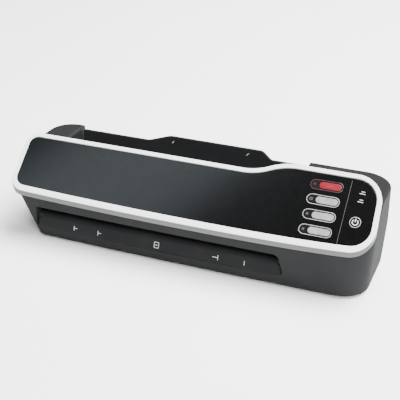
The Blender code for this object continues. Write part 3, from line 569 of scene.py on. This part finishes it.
def side_ring(z, shrink=0.0):
    """Outline of the shells at a height: straight up to the bend, then easing upright."""
    low, high = BULGE_Z - BEND, BULGE_Z + BEND
    if z <= low:
        t = z / BULGE_Z
    elif z < high:
        t = z / BULGE_Z - (z - low) ** 2 / (4 * BEND * BULGE_Z)
    else:
        t = 1.0
    (l0, q0, r0, f0, c0), (l1, q1, r1, f1, c1) = SIDES
    left, left_rear, right, front = (a + (b - a) * t for a, b in ((l0, l1), (q0, q1), (r0, r1), (f0, f1)))
    fl, fr, rr, rl = (a + (b - a) * t for a, b in zip(c0, c1))
    corners = [(left, front, fl)]
    corners += [(left + (right - left) * k / 20, front, 0) for k in range(2, 19)]
    corners += [(right, front, fr), (right, REAR, rr), (left_rear, REAR, rl)]
    points = []
    for x, y in rounded(corners):
        fade = min(1.0, max(0.0, (BOW_FADE - y) / BOW_FADE))
        points.append((x, y + BOW * fade * ((x - X_MID) / HALF_WIDTH) ** 2))
    return inset(points, shrink) if shrink else points


def panel_outline():
    """Opening of the trim in panel coordinates, deeper at the key end."""
    corners = [(PANEL_LEFT, 0.0, 12)]
    for k in range(2, 23):
        x = PANEL_LEFT + PANEL_WIDE * k / 24
        u = (x - PANEL_MID) / PANEL_HALF
        corners.append((x, -SAG * (1 - u ** 2) + LIFT * max(0, u) ** 4, 0))
    corners += [(PANEL_RIGHT, LIFT, 21), (KEYS_RIGHT, KEYS_TOP, 25), (WAVE_X[1], KEYS_TOP, WAVE_ROUND)]
    corners += [(WAVE_X[0], PANEL_TOP, WAVE_ROUND), (PANEL_LEFT + 0.7, PANEL_TOP, 10)]
    return rounded(corners)


PANEL_PLAN = [(x, PLANE_Y + s * math.cos(TILT)) for x, s in panel_outline()]


def trim_outline(shrink):
    """Outer edge of the trim in plan, drawn in along the rear."""
    edge = inset(PANEL_PLAN, shrink - TRIM_WIDTH)
    return [(x, y - REAR_SLIM * min(1.0, max(0.0, (y - SLIM_FROM) / SLIM_OVER))) for x, y in edge]


def slope_ring(points, below):
    return [put(x, y, plane_z(y) - below) for x, y in points]


def under_plane(below, y0=-40.0, y1=140.0):
    profile = [(y0, -20.0), (y1, -20.0), (y1, plane_z(y1) - below), (y0, plane_z(y0) - below)]
    return along_x("under", profile, -260.0, 260.0)


def shell_pair():
    """The front and rear shells as one hollow form, still joined at the seam."""
    below = TRIM_BAND + SLIP
    foot = reversed(quarter(FOOT_ROUND, 4))
    rings = [[put(x, y, z) for x, y in side_ring(z, shrink)] for shrink, z in foot]
    for z in (20.0, 40.0, 50.0, 52.0, 54.0, 56.0, 58.0, 60.0, 76.0):
        rings.append([put(x, y, z) for x, y in side_ring(z)])
    for shrink, drop in quarter(DECK_ROUND, 6):
        z = DECK_Z - drop
        rings.append([put(x, y, z) for x, y in side_ring(z, shrink)])
    form = keep(loft("form", rings), under_plane(below))
    trim_plan = trim_outline(TRIM_PROUD)
    wedge = along_z("wedge", inset(trim_plan, SLIP), 70.0, 140.0)
    keep(wedge, under_plane(below, y1=100.0))
    keep(wedge, box("wedge_rear", (-260, WEDGE_Y, 60), (260, 100, 150)))
    join(form, wedge)
    levels = (-5.0, 0.0, 50.0, 55.0, 60.0, DECK_Z - WALL)
    hollow = loft("hollow", [[put(x, y, z) for x, y in side_ring(max(0.0, z), WALL)] for z in levels])
    join(hollow, along_z("crown", inset(trim_plan, WALL + SLIP), 80.0, 150.0))
    return cut(form, hollow)


QUARTER_TURN = [math.pi / 2 * k / 10 for k in range(11)]


def lip_end(x, way):
    """Cutter that rounds one end of the lip, seen from the front."""
    r = LIP_ROUND
    profile = [(x - way * r * (1 - math.sin(a)), LIP_END_Z + r * math.cos(a)) for a in QUARTER_TURN]
    low, high, past = LIP_END_Z - 4.0, RECESS_Z[1] - 1.0, x + way * 20.0
    profile += [(x, low), (past, low), (past, high), (x - way * r, high)]
    return along_y("lip_end", profile, -25.0, LIP_END_DEPTH)


def notch_fillet(x, way):
    """Cutter that rounds the top edge of a notch side."""
    r = NOTCH_FILLET
    profile = [(x + way * r * (1 - math.cos(a)), DECK_Z - r * (1 - math.sin(a))) for a in QUARTER_TURN]
    over, past = DECK_Z + 15.0, x - way * 5.0
    profile += [(x + way * r, over), (past, over), (past, DECK_Z - r)]
    return along_y("fillet", profile, SEAM_Y + 3.5, REAR_CUT_Y[1])


def front_cover(form):
    """Front shell with the entry recess: a lip leaning back and a feed table."""
    keep(form, box("half", (-260, -40, -10), (260, SEAM_Y - SEAM_HALF, 150)))
    block = along_x("block", BLOCK_SIDE, RECESS_BASE[0] - BLOCK_PAST, RECESS_BASE[1] + BLOCK_PAST)
    levels = (0.0, 20.0, 40.0, 50.0)
    keep(block, loft("skin", [[put(x, y, z) for x, y in side_ring(z, UNDER_SKIN)] for z in levels]))
    join(form, block)
    z0, z1 = RECESS_Z
    corners = [(RECESS_BASE[0], z0 - 0.01, 2), (RECESS_BASE[1], z0 - 0.01, 6)]
    corners += [(RECESS_TOP[1], z1, 7), (RECESS_TOP[0], z1, 3)]
    mouth = along_y("mouth", rounded(corners, 8), -30.0, 30.0)
    brow = z1 - BROW_DROP
    profile = [(-30.0, z0, 0), (*LIP_FOOT, 0.4), (*LIP_EDGE, LIP_ROUND), (*TABLE_END, 0)]
    profile += [(TABLE_END[0], brow, 0), (9.0, brow, 2.0), (3.0, z1, 1.0), (-30.0, z1, 0)]
    scoop = along_x("scoop", rounded(profile, 9), -200.0, 140.0)
    for x, way in zip(LIP_END_X, (-1, 1)):
        join(scoop, lip_end(x, way))
    keep(mouth, scoop)
    return cut(form, mouth)


def rear_cover(form):
    """Rear shell with the tray notch, its liner, the hinge bores and the vents."""
    keep(form, box("half", (-260, SEAM_Y + SEAM_HALF, -10), (260, 160, 150)))
    x0, x1 = NOTCH_X
    front, back = SEAM_Y + SEAM_HALF, LINER_BACK
    side = [(front, 90.0), (back, 60.0), (back, 39.0), (118.0, 39.0), (118.0, 94.0), (front, 94.0)]
    join(form, along_x("liner_left", side, x0 - LINER, x0 + 0.4))
    join(form, along_x("liner_right", side, x1 - 0.4, x1 + LINER))
    low, high = zip(POST_Y, POST_Z)
    join(form, box("post_left", (x0 - POST_WIDE, *low), (x0 - 1.0, *high)))
    join(form, box("post_right", (x1 + 1.0, *low), (x1 + POST_WIDE, *high)))
    r, past, flare = NOTCH_CORNER, REAR + 10.0, REAR + 0.05
    plan = [(x0, SEAM_Y + 1.0, 0), (x1, SEAM_Y + 1.0, 0), (x1, flare, r), (x1 + r + 3.0, flare, 0)]
    plan += [(x1 + r + 3.0, past, 0), (x0 - r - 3.0, past, 0), (x0 - r - 3.0, flare, 0), (x0, flare, r)]
    cut(form, along_z("notch", rounded(plan, 10), NOTCH_FLOOR, 110.0))
    cut(form, box("notch_low", (x0, 100.0, RAIL_Z), (x1, REAR - 1.1, 60)))
    for x, way in ((x0, -1), (x1, 1)):
        cut(form, notch_fillet(x, way))
    inner = back + LINER
    wall = [(front, 93.0, 0), (front, DECK_Z, 0), (front + LINER, DECK_Z, 1.2), (inner, 62.0, 6), (inner, 49.0, 0)]
    wall += [(back, 49.0, 0), (back, 61.5, 6)]
    join(form, along_x("liner_wall", rounded(wall, 6), x0 - 1.0, x1 + 1.0))
    floor = [(back, 39.8), (107.3, 45.6), (107.3, 40.8), (117.5, 40.8), (117.5, RAIL_Z)]
    floor += [(109.8, RAIL_Z), (109.8, NOTCH_FLOOR), (back, 42.2)]
    join(form, along_x("liner_floor", floor, x0 - 1.0, x1 + 1.0))
    bore = PIN_R + RUN
    cut(form, turned("bore", HINGE_Y, HINGE_Z, [(x0 - 6, bore), (x0 + 3, bore)], steps=32))
    cut(form, turned("bore", HINGE_Y, HINGE_Z, [(x1 - 3, bore), (x1 + 6, bore)], steps=32))
    for k in range(VENT_COUNT):
        slot = pill(55.0, VENT_X + VENT_PITCH * k, 22.0, 2.2, steps=6)
        cut(form, along_y("vent", [(x, z) for z, x in reversed(slot)], *REAR_CUT_Y))
    cut(form, along_y("inlet_hole", bar(INLET_X, INLET_Z, 23.8, 14.8, 1.6, 5), *REAR_CUT_Y))
    return form


def build_shells():
    form = shell_pair()
    twin = form.copy()
    twin.data = form.data.copy()
    bpy.context.scene.collection.objects.link(twin)
    form.name, twin.name = "shell_front", "shell_rear"
    fit(front_cover(form), CHARCOAL, "case", "charcoal_shell", "front_cover", width=0.35)
    fit(rear_cover(twin), CHARCOAL, "case", "charcoal_shell", "rear_cover", width=0.35)


def build_trim():
    outer = trim_outline(0.0)
    ledge = inset(PANEL_PLAN, LEDGE)
    shelf = PANEL_DROP + PANEL_DEPTH + SLIP
    rings = [slope_ring(inset(outer, shrink), TRIM_BAND - drop) for shrink, drop in reversed(quarter(0.5, 3))]
    rings += [slope_ring(inset(outer, shrink), drop) for shrink, drop in quarter(TRIM_ROUND, 6)]
    rings += [slope_ring(inset(PANEL_PLAN, -shrink), drop) for shrink, drop in reversed(quarter(0.5, 4))]
    rings += [slope_ring(PANEL_PLAN, shelf), slope_ring(ledge, shelf), slope_ring(ledge, TRIM_BAND)]
    fit(loft("pale_trim", rings, closed=True), WHITE, "case", "white_trim", "trim_frame")


def build_panel():
    edge = inset(PANEL_PLAN, PANEL_GAP)
    rings = [slope_ring(edge, PANEL_DROP + PANEL_DEPTH)]
    rings += [slope_ring(inset(edge, shrink), PANEL_DROP + drop) for shrink, drop in quarter(0.45, 4)]
    panel = loft("gloss_panel_face", rings)
    holes = [pill(KEY_MID, s, KEY_WIDE, KEY_TALL, -KEY_GAP) for s in KEY_ROWS]
    holes.append(circle(*POWER_AT, POWER_R + KEY_GAP, ROUND))
    holes += [bar(LENS_X, s, 5.6, 2.8, 1.2, 5) for s in LENS_ROWS]
    for hole in holes:
        cut(panel, loft("hole", [[on_panel(x, v, h) for x, v in hole] for h in (-8.0, 5.0)]))
    fit(panel, GLOSS, "case", "gloss_panel", "top_panel", width=0.12)
    face = -PANEL_DROP * math.cos(TILT)
    divider = stroke(DIVIDER_X, 0.7, DIVIDER_X, 74.0, 0.34)
    hairline = stroke(HAIRLINE_X, 32.0, HAIRLINE_X, 60.0, 0.25)
    ink_and_glints("panel_divider", [divider], on_panel, INK_DIM, "case", "milky_light", face)
    ink_and_glints("panel_hairline", [hairline], on_panel, KEYCAP, "case", "key_black", face)


def key_body(name, s, wide, tall, centre):
    """Stem, retaining flange and cap with a rounded top edge."""
    low, high = FLANGE_H
    flange = pill(centre, s, wide + FLANGE_OUT, tall + FLANGE_OUT)
    stem = circle(centre, s, STEM_R, len(flange))
    turn = round(len(flange) * 5 / 8)
    stem = stem[turn:] + stem[:turn]
    rings = [[on_panel(x, v, h) for x, v in stem] for h in (STEM_END, low)]
    rings += [[on_panel(x, v, h) for x, v in flange] for h in (low, high)]
    rings.append([on_panel(x, v, high) for x, v in pill(centre, s, wide, tall)])
    rings += [[on_panel(x, v, KEY_TOP - drop) for x, v in pill(centre, s, wide, tall, shrink)]
              for shrink, drop in quarter(0.4, 4)]
    return loft(name, rings)


def build_keys():
    centre, length, top = WINDOW_MID, WINDOW_LONG, KEY_TOP
    for index, s in enumerate(KEY_ROWS, 1):
        body = "mode_button_%d" % index
        key = key_body("mode_cap_%d" % index, s, KEY_WIDE, KEY_TALL, KEY_MID)
        pocket = pill(centre, s, length, WINDOW_TALL, -WINDOW_GAP)
        cut(key, loft("pocket", [[on_panel(x, v, h) for x, v in pocket] for h in (POCKET_H, 2.0)]))
        fit(key, KEYCAP, body, "key_black", "mode_key_%d" % index)
        stages = [(0.0, WINDOW_H)] + [(shrink, top + 0.12 - drop) for shrink, drop in quarter(0.5, 5)]
        stages.append((2.2, top + 0.20))
        rings = [[on_panel(x, v, h) for x, v in pill(centre, s, length, WINDOW_TALL, shrink)] for shrink, h in stages]
        lit = index == 1
        fit(loft("light_bar_%d" % index, rings), LIT_RED if lit else MILKY, body,
            "red_light" if lit else "milky_light", "light_window_%d" % index)
        edge = [pill(KEY_MID, s, KEY_WIDE, KEY_TALL, shrink) for shrink in (0.5, 1.0)]
        ink_and_glints("key_line_%d" % index, [edge], on_panel, INK_RED if lit else INK_GREY, body, "milky_light", KEY_TOP)
        x = SIGN_X
        if index == 2:
            shapes = [[bar(x, s, 3.4, 3.0, 0.5, 3), bar(x, s, 2.4, 2.0, 0.3, 3)], stroke(x - 0.6, s, x + 0.6, s, 0.5)]
        else:
            shapes = []
            for a in (0.2, 0.2 + math.pi / 3, 0.2 + 2 * math.pi / 3):
                u, v = 1.6 * math.cos(a), 1.6 * math.sin(a)
                shapes.append(stroke(x - u, s - v, x + u, s + v, 0.5))
        ink_and_glints("key_sign_%d" % index, shapes, on_panel, INK_RED if lit else INK_DIM, body, "milky_light", KEY_TOP)


def build_power():
    x, s = POWER_AT
    cap = key_body("power_cap", s, 2 * POWER_R, 2 * POWER_R - 0.02, x)
    fit(cap, KEYCAP, "power_button", "key_black", "power_key")
    ink_and_glints("power_line", [[circle(x, s, 6.0, 64), circle(x, s, 5.5, 64)]], on_panel, INK_GREY, "power_button",
        "milky_light", KEY_TOP)
    gap = math.radians(38)
    angles = [math.pi / 2 + gap + (2 * math.pi - 2 * gap) * k / 36 for k in range(37)]
    ring = [(x + 3.5 * math.cos(a), s + 3.5 * math.sin(a)) for a in reversed(angles)]
    ring += [(x + 2.6 * math.cos(a), s + 2.6 * math.sin(a)) for a in angles]
    ink_and_glints("power_sign", [ring, stroke(x, s + 0.2, x, s + 4.1, 0.9)], on_panel, BRIGHT_INK_AND_GLINT, "power_button",
        "milky_light", KEY_TOP)


def build_lenses():
    for index, s in enumerate(LENS_ROWS, 1):
        rings = []
        for shrink, h in [(0.0, -3.6)] + [(shrink, LENS_TOP - drop) for shrink, drop in quarter(0.25, 3)]:
            face = bar(LENS_X, s, 5.0 - 2 * shrink, 2.2 - 2 * shrink, 0.9 - shrink, 5)
            rings.append([on_panel(x, v, h) for x, v in face])
        fit(loft("indicator_%d" % index, rings), KEYCAP, "case", "milky_light", "indicator_lens_%d" % index)
        sign = stroke(LENS_X - 1.9, s + 0.5, LENS_X + 2.1, s + 0.3, 0.42)
        dash = stroke(LENS_X - 3.6, s - 1.9, LENS_X + 2.7, s - 2.2, 0.45)
        for label, shape, base in (("sign", sign, LENS_TOP), ("dash", dash, -PANEL_DROP * math.cos(TILT))):
            ink_and_glints("indicator_%s_%d" % (label, index), [shape], on_panel, BRIGHT_INK_AND_GLINT, "case", "milky_light", base)


def build_tray():
    a, b = TRAY_X
    corners = [(a, TRAY_FOOT, 0), (b, TRAY_FOOT, 0), (b, TRAY_LONG, 4), (69.0, TRAY_LONG, 6), (58.0, TAB_LONG, 8)]
    corners += [(-58.0, TAB_LONG, 26), (-86.0, TRAY_LONG, 18), (a, TRAY_LONG, 4)]
    outline = rounded(corners)
    stages = [(shrink, TRAY_BACK + drop) for shrink, drop in reversed(quarter(0.8, 4))]
    stages += [(shrink, TRAY_FACE - drop) for shrink, drop in quarter(1.0, 5)]
    tray = loft("exit_flap", [[on_tray(x, v, h) for x, v in inset(outline, shrink)] for shrink, h in stages])
    ends = [(a + 0.1, BARREL_R - 0.4), (a + 0.5, BARREL_R), (b - 0.5, BARREL_R), (b - 0.1, BARREL_R - 0.4)]
    join(tray, turned("barrel", HINGE_Y, HINGE_Z, ends, steps=50))
    (r0, r1), (h0, h1) = RIB_RUN, RIB_H
    for x in RIB_X:
        low = [on_tray(x + dx, run, h) for dx, run, h in ((-1, r0, h0), (1, r0, h0), (1, r1, h1), (-1, r1, h1))]
        top = [on_tray(x + dx, run, 2.0) for dx, run in ((-1, r0), (1, r0), (1, r1), (-1, r1))]
        join(tray, loft("rib", [low, top]))
    bore = PIN_R + RUN
    cut(tray, turned("bore", HINGE_Y, HINGE_Z, [(a - 5, bore), (a + PIN_BORE, bore)], steps=32))
    cut(tray, turned("bore", HINGE_Y, HINGE_Z, [(b - PIN_BORE, bore), (b + 5, bore)], steps=32))
    fit(tray, TRAY_CHARCOAL_PAINTED_LIGHT, "tray", "charcoal_shell", "exit_tray")
    # Painted highlights: two small bright slanted ticks on the tab stand in for glints.
    shapes = [stroke(x - 1.3, 46.0, x + 1.3, 49.0, 1.0) for x in (-54.1, 40.0)]
    ink_and_glints("tray_painted_glints", shapes, on_tray, BRIGHT_INK_AND_GLINT, "tray", "white_trim", TRAY_FACE)


def build_marks():
    """Paper guide marks on the lip: end stops with arrows, and a sheet sign."""
    v, middle = MARK_V, SHEET_X
    shapes = []
    for x, way, long in ((-134.0, 1, 4.2), (-103.0, 1, 4.2), (45.0, -1, 6.4)):
        shapes.append(stroke(x, v - 2.7, x, v + 2.7, 0.55))
        shapes.append(stroke(x + way * 0.5, v, x + way * long, v, 0.5))
        shapes.append([(x + way * 0.7, v), (x + way * 1.7, v + 0.5), (x + way * 1.7, v - 0.5)][::way])
    shapes.append(stroke(76.0, v - 2.4, 76.0, v + 2.4, 0.55))
    shapes.append([bar(middle, v, 6.0, 7.0, 1.0, 4), bar(middle, v, 4.9, 5.9, 0.6, 4)])
    shapes.append(stroke(middle - 1.2, v, middle + 1.2, v, 0.7))
    ink_and_glints("lip_marks", shapes, on_lip, BRIGHT_INK_AND_GLINT, "case", "white_trim")


def build_underside():
    for node, (x, y) in {"foot_front_left": (-165, 20), "foot_front_right": (180, 26),
                         "foot_rear_left": (-158, 98), "foot_rear_right": (178, 98)}.items():
        stations = [(-2.4, 4.0), (-2.6, 5.2), (-3.0, 5.8), (-3.0, 7.2), (-2.8, 7.8), (-2.3, 8.1), (0.1, 9.0)]
        fit(upright("pad_" + node[5:], x, y, stations), RUBBER, "case", "dark_rubber", node)
    for index, (x, y) in enumerate(((-150, 60), (-60, 16), (60, 16), (185, 60), (60, 104), (-60, 104)), 1):
        head = upright("base_screw_%d" % index, x, y, [(0.6, 3.2), (0.2, 3.2), (-0.1, 2.9), (-0.25, 2.2)], 40)
        cut(head, box("slot", (x - 1.8, y - 0.35, -1.0), (x + 1.8, y + 0.35, 0.15)))
        cut(head, box("slot", (x - 0.35, y - 1.8, -1.0), (x + 0.35, y + 1.8, 0.15)))
        fit(head, STEEL, "case", "steel")
    plate = bar(0.0, 78.0, 74.0, 34.0, 2.5, 6)
    fit(along_z("blank_plate", plate, 0.15, 0.45), LABEL, "case", "base_grey")


def nip(y, side):
    return (y - math.sin(PATH_RISE) * NIP_REACH * side, path_z(y) + math.cos(PATH_RISE) * NIP_REACH * side)


def build_rollers():
    x0, x1 = SLEEVE_X
    for label, y in ROLLER_Y.items():
        for place, side in (("upper", 1), ("lower", -1)):
            cy, cz = nip(y, side)
            node, body = "%s_%s" % (label, place), "%s_roller_%s" % (label, place)
            sleeve = [(x0, CORE_R + RUN), (x0, ROLLER_R - 0.8), (x0 + 0.3, ROLLER_R - 0.25), (x0 + 0.8, ROLLER_R)]
            sleeve += [(x1 - 0.8, ROLLER_R), (x1 - 0.3, ROLLER_R - 0.25), (x1, ROLLER_R - 0.8), (x1, CORE_R + RUN)]
            fit(turned("cover_" + node, cy, cz, sleeve, closed=True), SILICONE, body, "silicone", "sleeve_" + node)
            shaft = [(x0 - 13.0, JOURNAL_R - 0.5), (x0 - 12.5, JOURNAL_R), (x0 - 2.0, JOURNAL_R), (x0 - 2.0, CORE_R)]
            shaft += [(x1 + 1.5, CORE_R), (x1 + 1.5, JOURNAL_R)]
            shaft += [(GEAR_END + 1.5, JOURNAL_R), (GEAR_END + 2.0, JOURNAL_R - 0.5)]
            fit(turned("axle_" + node, cy, cz, shaft), STEEL, body, "steel", "shaft_" + node)


def build_inlet():
    body = along_y("socket_body", bar(INLET_X, INLET_Z, 22.8, 13.8, 1.2, 5), 106.0, 118.8)
    cut(body, along_y("cavity", bar(INLET_X, INLET_Z, 16.0, 8.4, 4.15, 10), 108.0, 125.0))
    fit(body, BASE, "case", "base_grey", "power_inlet", width=0.3)
    stations = ((108.2, 1.2), (115.4, 1.2), (116.0, 1.05), (116.5, 0.6))
    for node, x in (("inlet_pin_left", INLET_X - 3.7), ("inlet_pin_right", INLET_X + 3.7)):
        rings = [[put(u, y, v) for u, v in circle(x, INLET_Z, r, 32)] for y, r in stations]
        fit(loft("contact_" + node[10:], rings), BRASS, "case", "brass", node)


def dress_frame():
    """Materials on the CAD nodes that stay in view or inside."""
    finishes = {"base_plate": BASE, "hinge_pin": STEEL, "side_plate": STEEL, "tie_bar": STEEL, "bearing": NYLON,
                "gear_": NYLON, "motor_gear": NYLON, "output_shaft": STEEL, "gearbox": BASE, "drive_motor": STEEL,
                "heater_shoe": ALLOY, "thermostat": STEEL, "control_board": BOARD, "main_board": BOARD}
    for name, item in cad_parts.items():
        for start, finish in finishes.items():
            if name.startswith(start):
                for slot in item.material_slots:
                    slot.material = finish


# ---------------------------------------------------------------- stage

def studio():
    camera = bpy.data.objects.new("camera", bpy.data.cameras.new("camera"))
    camera.data.lens = 85.5
    camera.data.sensor_width = 36.0
    camera.location = (0.3641, -0.89686, 0.5600)
    camera.rotation_euler = (math.radians(62.5), 0.0, math.radians(21.9))
    bpy.context.scene.collection.objects.link(camera)
    bpy.context.scene.camera = camera

    z = -0.0005
    floor = make("floor", [(-6, -6, z), (6, -6, z), (6, 6, z), (-6, 6, z)], [(0, 1, 2, 3)])
    pale = surface("pale_floor", grey(0.90), grey(0.92), (0.85, 0.9), patch=3.0, grain=60.0, depth=1e-6)
    floor.data.materials.append(pale)

    world = bpy.data.worlds.new("studio")
    bpy.context.scene.world = world
    world.use_nodes = True
    sky = world.node_tree.nodes["Background"].inputs
    sky["Color"].default_value = (0.95, 0.97, 1.0, 1.0)
    sky["Strength"].default_value = 0.18

    def softbox(name, place, aim, wide, tall, energy, colour=(1.0, 1.0, 1.0)):
        lamp = bpy.data.lights.new(name, "AREA")
        lamp.shape = "RECTANGLE"
        lamp.size, lamp.size_y = wide, tall
        lamp.energy = energy
        lamp.color = colour
        item = bpy.data.objects.new(name, lamp)
        item.location = place
        item.rotation_euler = (Vector(aim) - Vector(place)).to_track_quat("-Z", "Y").to_euler()
        bpy.context.scene.collection.objects.link(item)

    softbox("overhead", (1.0, 0.75, 2.5), (0.0, 0.1, 0.0), 2.8, 2.0, 500.0)
    softbox("front_left", (-0.94, -0.74, 1.90), (-0.1, -0.03, 0.08), 0.42, 1.5, 4.0, (0.80, 0.93, 1.0))
    softbox("front_right", (1.5, -2.0, 1.9), (0.0, 0.0, 0.05), 1.6, 1.0, 120.0)


build_shells()
build_trim()
build_panel()
build_keys()
build_power()
build_lenses()
build_tray()
build_marks()
build_underside()
build_rollers()
build_inlet()
dress_frame()
studio()
